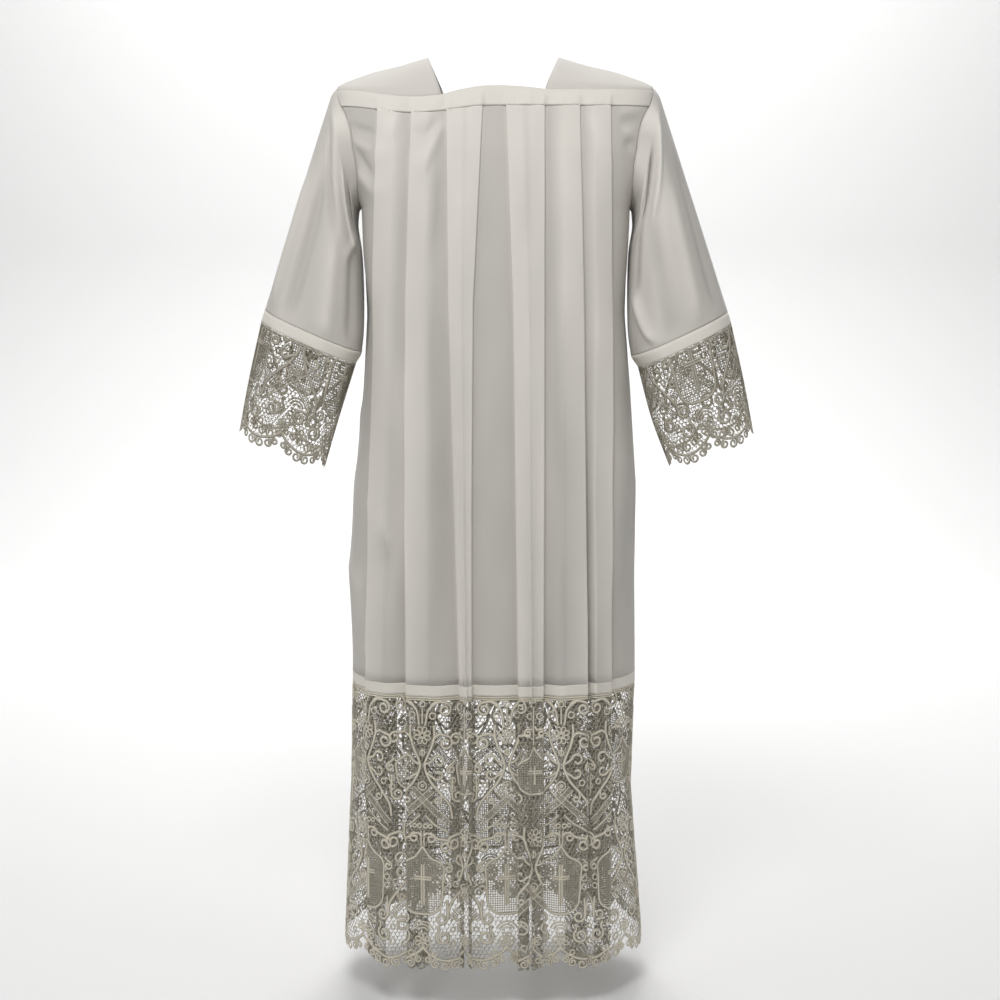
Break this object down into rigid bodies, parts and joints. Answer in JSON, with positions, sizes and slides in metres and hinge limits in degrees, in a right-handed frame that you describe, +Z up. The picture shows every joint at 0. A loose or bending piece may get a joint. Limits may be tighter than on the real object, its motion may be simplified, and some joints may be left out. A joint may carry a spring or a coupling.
{
  "type": "alb robe",
  "caption": "Full-length pleated white alb with a square neck, wide sleeves, and deep ecru lace at the hem and cuffs, in its worn form.",
  "frame": {"origin": "midway between the shoulder straps, at the height of their underside where they cross the wearer's shoulders beside the neck", "axes": "+Z up, the front faces -Y, +X is towards the wearer's left"},
  "size_m": [0.8294, 0.3815, 1.4561],
  "materials": {
    "cloth": "plain-woven matt white cloth",
    "lace": "ecru tape and net lace"
  },
  "bodies": {
    "root": {"front_panel": "cloth", "back_panel": "cloth", "front_yoke": "cloth", "back_yoke": "cloth", "right_shoulder": "cloth", "left_shoulder": "cloth", "right_sleeve": "cloth", "left_sleeve": "cloth", "right_sleeve_hem": "cloth", "left_sleeve_hem": "cloth", "front_skirt_hem": "cloth", "back_skirt_hem": "cloth", "front_hem_lace": "lace", "back_hem_lace": "lace", "right_cuff_lace_front": "lace", "right_cuff_lace_back": "lace", "left_cuff_lace_front": "lace", "left_cuff_lace_back": "lace"}
  },
  "joints": []
}
